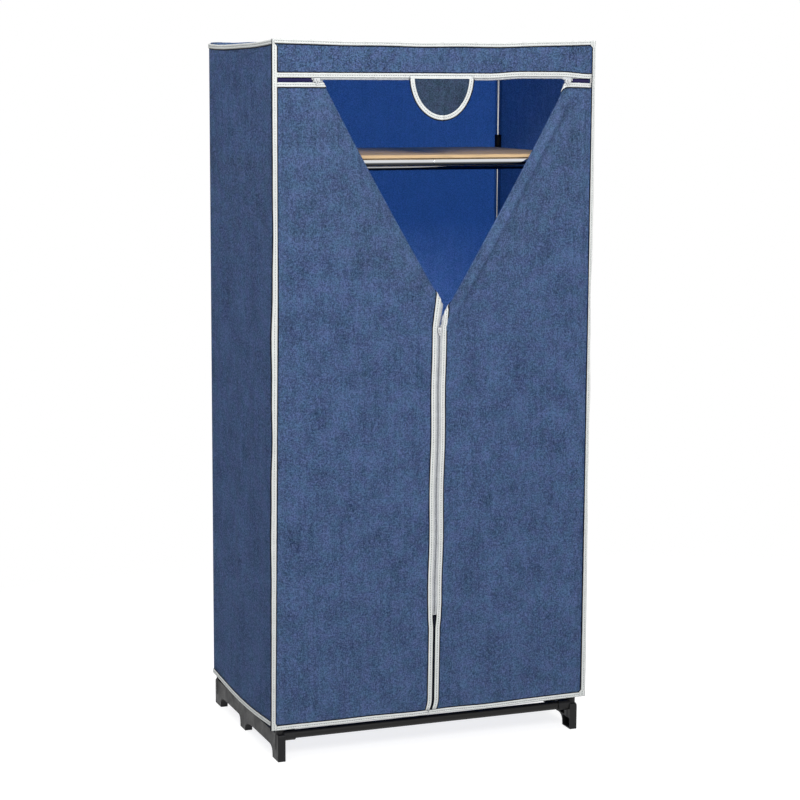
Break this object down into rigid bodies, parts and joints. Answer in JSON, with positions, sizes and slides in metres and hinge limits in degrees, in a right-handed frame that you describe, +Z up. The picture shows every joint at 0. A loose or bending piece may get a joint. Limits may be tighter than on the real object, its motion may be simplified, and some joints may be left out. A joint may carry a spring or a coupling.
{
  "type": "portable fabric wardrobe",
  "caption": "Free-standing tube-frame wardrobe with a zipped cloth cover whose front flaps are folded back over a shelf and a hanging rail.",
  "frame": {"origin": "on the floor, under the middle of the cover", "axes": "+Z up, the zipped front towards -Y, +X to the right for a person who faces the front"},
  "size_m": [0.75, 0.5158, 1.6],
  "materials": {
    "chrome_tube": "bright plated thin steel tube",
    "black_plastic": "black moulded polypropylene, soft sheen",
    "black_bar": "black powder-coated steel tube",
    "blue_cloth": "grey-blue non-woven polypropylene cloth, mottled, matt",
    "white_binding": "white polypropylene edge binding, sewn with one seam",
    "white_zip": "white woven zip tape with a nylon coil",
    "white_paint": "white enamelled zinc casting",
    "shelf_board": "thin board with a pale tan face and edge"
  },
  "bodies": {
    "wardrobe": {"base_end_left": "black_plastic", "base_end_right": "black_plastic", "base_bar_front": "black_bar", "base_bar_back": "black_bar", "post_lower_front_left": "chrome_tube", "post_lower_front_right": "chrome_tube", "post_lower_back_left": "chrome_tube", "post_lower_back_right": "chrome_tube", "post_upper_front_left": "chrome_tube", "post_upper_front_right": "chrome_tube", "post_upper_back_left": "chrome_tube", "post_upper_back_right": "chrome_tube", "shelf_joint_front_left": "black_plastic", "shelf_joint_front_right": "black_plastic", "shelf_joint_back_left": "black_plastic", "shelf_joint_back_right": "black_plastic", "top_joint_front_left": "black_plastic", "top_joint_front_right": "black_plastic", "top_joint_back_left": "black_plastic", "top_joint_back_right": "black_plastic", "top_tube_front": "chrome_tube", "top_tube_back": "chrome_tube", "top_tube_left": "chrome_tube", "top_tube_right": "chrome_tube", "shelf_tube_front_left": "chrome_tube", "shelf_tube_front_right": "chrome_tube", "shelf_tube_back": "chrome_tube", "shelf_tube_left": "chrome_tube", "shelf_tube_right": "chrome_tube", "shelf_board": "shelf_board", "hanging_rail": "chrome_tube", "rail_bracket_left": "black_plastic", "rail_bracket_right": "black_plastic", "cover_top": "blue_cloth", "cover_back": "blue_cloth", "cover_side_left": "blue_cloth", "cover_side_right": "blue_cloth", "header_band": "blue_cloth", "top_piping": "white_binding", "hem_binding": "white_binding", "header_binding": "white_binding", "header_zip": "white_zip", "corner_piping_left": "white_binding", "corner_piping_right": "white_binding", "flap_left": "blue_cloth", "flap_right": "blue_cloth", "flap_top_binding_left": "white_binding", "flap_top_binding_right": "white_binding", "flap_zip_binding_left": "white_binding", "flap_zip_binding_right": "white_binding", "centre_zip_left": "white_zip", "centre_zip_right": "white_zip"},
    "centre_slider": {"centre_slider": "white_paint"},
    "centre_pull_tab": {"centre_pull_tab": "white_paint"},
    "top_slider_left": {"top_slider_left": "white_paint"},
    "top_pull_tab_left": {"top_pull_tab_left": "white_paint"},
    "top_slider_right": {"top_slider_right": "white_paint"},
    "top_pull_tab_right": {"top_pull_tab_right": "white_paint"},
    "pull_cover": {"pull_cover": "blue_cloth", "pull_cover_binding": "white_binding"}
  },
  "joints": [
    {"name": "centre_slide", "type": "slide", "parent": "wardrobe", "child": "centre_slider", "axis": [-0.0107, 0, -0.9999], "range_m": [0, 0.644]},
    {"name": "centre_tab_swing", "type": "hinge", "parent": "centre_slider", "child": "centre_pull_tab", "pos_m": [0.01093, -0.2564, 0.9602], "axis": [-0.9999, 0, 0.0107], "range_deg": [0, 150]},
    {"name": "top_slide_left", "type": "slide", "parent": "wardrobe", "child": "top_slider_left", "axis": [1, 0, 0], "range_m": [0, 0.281]},
    {"name": "top_tab_left_swing", "type": "hinge", "parent": "top_slider_left", "child": "top_pull_tab_left", "pos_m": [-0.278, -0.2564, 1.5125], "axis": [-1, 0, 0], "range_deg": [0, 150]},
    {"name": "top_slide_right", "type": "slide", "parent": "wardrobe", "child": "top_slider_right", "axis": [-1, 0, 0], "range_m": [0, 0.3]},
    {"name": "top_tab_right_swing", "type": "hinge", "parent": "top_slider_right", "child": "top_pull_tab_right", "pos_m": [0.317, -0.2564, 1.5125], "axis": [-1, 0, 0], "range_deg": [0, 150]},
    {"name": "pull_cover_lift", "type": "hinge", "parent": "wardrobe", "child": "pull_cover", "pos_m": [0.01, -0.2555, 1.5215], "axis": [-1, 0, 0], "range_deg": [0, 120]}
  ]
}
